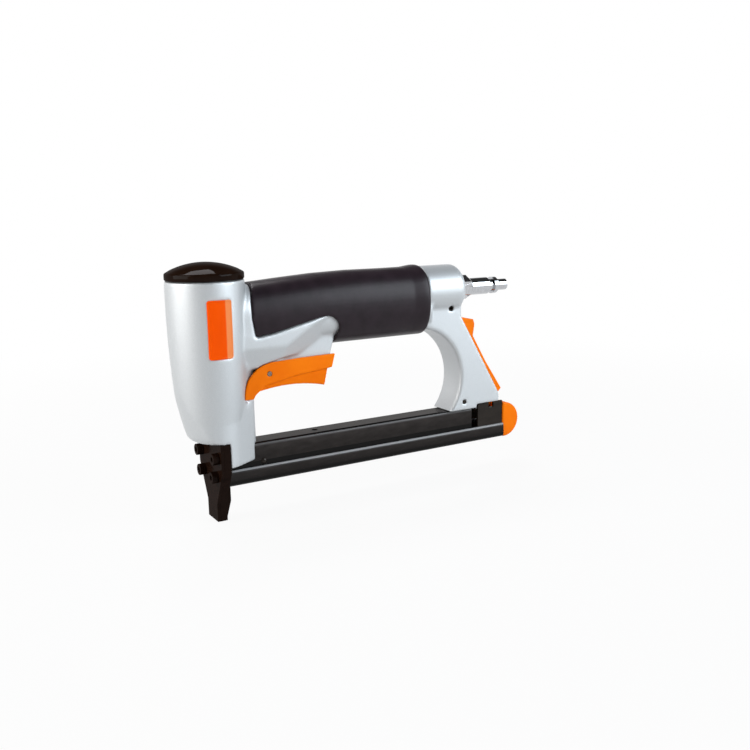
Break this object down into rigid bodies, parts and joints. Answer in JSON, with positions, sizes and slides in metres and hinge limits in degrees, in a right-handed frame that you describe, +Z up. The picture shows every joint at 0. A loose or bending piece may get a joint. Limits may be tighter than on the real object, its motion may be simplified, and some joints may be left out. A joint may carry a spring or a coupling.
{
  "type": "pneumatic upholstery stapler",
  "caption": "Hand-held air stapler with a round cylinder, rubber grip, finger trigger, rear post with a latch and a long sliding staple magazine.",
  "frame": {"origin": "middle of the nose tip, where the staple leaves", "axes": "+X back along the magazine towards the air plug, +Y to the tool's right side, +Z up along the driver"},
  "size_m": [0.2517, 0.0468, 0.1555],
  "materials": {
    "silver_paint": "silver-grey metallic paint on a cast body",
    "black_gloss": "glossy black moulded cap",
    "grip_rubber": "matt charcoal rubber",
    "seal_rubber": "black seal rubber",
    "orange_plastic": "satin orange plastic",
    "badge_orange": "bare deep orange badge",
    "black_steel": "semi-gloss black finish on steel",
    "steel": "plain steel",
    "alloy": "turned aluminium",
    "plated": "bright chrome plate",
    "bronze": "turned brass"
  },
  "bodies": {
    "body": {"housing": "silver_paint", "grip_sleeve": "grip_rubber", "top_cap": "black_gloss", "cap_gasket": "seal_rubber", "cap_ring": "seal_rubber", "cylinder_sleeve": "alloy", "sleeve_ring": "seal_rubber", "bumper": "seal_rubber", "head_spring": "steel", "badge_plate": "badge_orange", "driver_guide": "black_steel", "front_plate": "black_steel", "nose_screws": "black_steel", "trigger_pin": "steel", "valve_bush": "bronze", "valve_spring": "steel", "valve_cap": "bronze", "fixed_rail": "black_steel", "rail_rivets": "black_steel", "post_pin": "black_steel", "handle_pin": "black_steel", "latch_pin": "steel", "latch_spring": "steel", "inlet_bush": "alloy", "air_plug": "plated"},
    "trigger": {"trigger": "orange_plastic"},
    "stem": {"valve_stem": "steel"},
    "driver": {"piston": "alloy", "piston_ring": "seal_rubber", "driver_blade": "steel", "driver_pin": "steel"},
    "head": {"head_valve": "black_gloss", "head_ring": "seal_rubber"},
    "slide": {"slide_channel": "black_steel", "slide_core": "steel", "rear_bracket": "black_steel", "catch_pin": "steel", "guide_rod": "steel", "pusher_spring": "steel", "end_cap": "orange_plastic", "end_pin": "black_steel"},
    "pusher": {"pusher": "steel"},
    "latch": {"latch_lever": "orange_plastic"}
  },
  "joints": [
    {"name": "trigger_pull", "type": "hinge", "parent": "body", "child": "trigger", "pos_m": [0.0333, 0, 0.0875], "axis": [0, -1, 0], "range_deg": [0, 6], "stiffness_Nm_per_rad": 0.6, "springref_deg": -5.73},
    {"name": "stem_lift", "type": "slide", "parent": "body", "child": "stem", "axis": [0, 0, 1], "range_m": [0, 0.0023], "deforming": ["valve_spring"]},
    {"name": "driver_stroke", "type": "slide", "parent": "body", "child": "driver", "axis": [0, 0, -1], "range_m": [0, 0.044]},
    {"name": "head_lift", "type": "slide", "parent": "body", "child": "head", "axis": [0, 0, 1], "range_m": [0, 0.003], "stiffness_N_per_m": 800, "springref_m": -0.004, "deforming": ["head_spring"]},
    {"name": "slide_out", "type": "slide", "parent": "body", "child": "slide", "axis": [1, 0, 0], "range_m": [0, 0.13]},
    {"name": "pusher_back", "type": "slide", "parent": "slide", "child": "pusher", "axis": [1, 0, 0], "range_m": [0, 0.11], "stiffness_N_per_m": 60, "springref_m": -0.03, "deforming": ["pusher_spring"]},
    {"name": "latch_press", "type": "hinge", "parent": "body", "child": "latch", "pos_m": [0.186, 0, 0.064], "axis": [0, -1, 0], "range_deg": [0, 8], "stiffness_Nm_per_rad": 0.4, "springref_deg": -5.73}
  ],
  "couplings": [
    {"joint": "stem_lift", "follows": "trigger_pull", "m_per_rad": 0.0217}
  ]
}
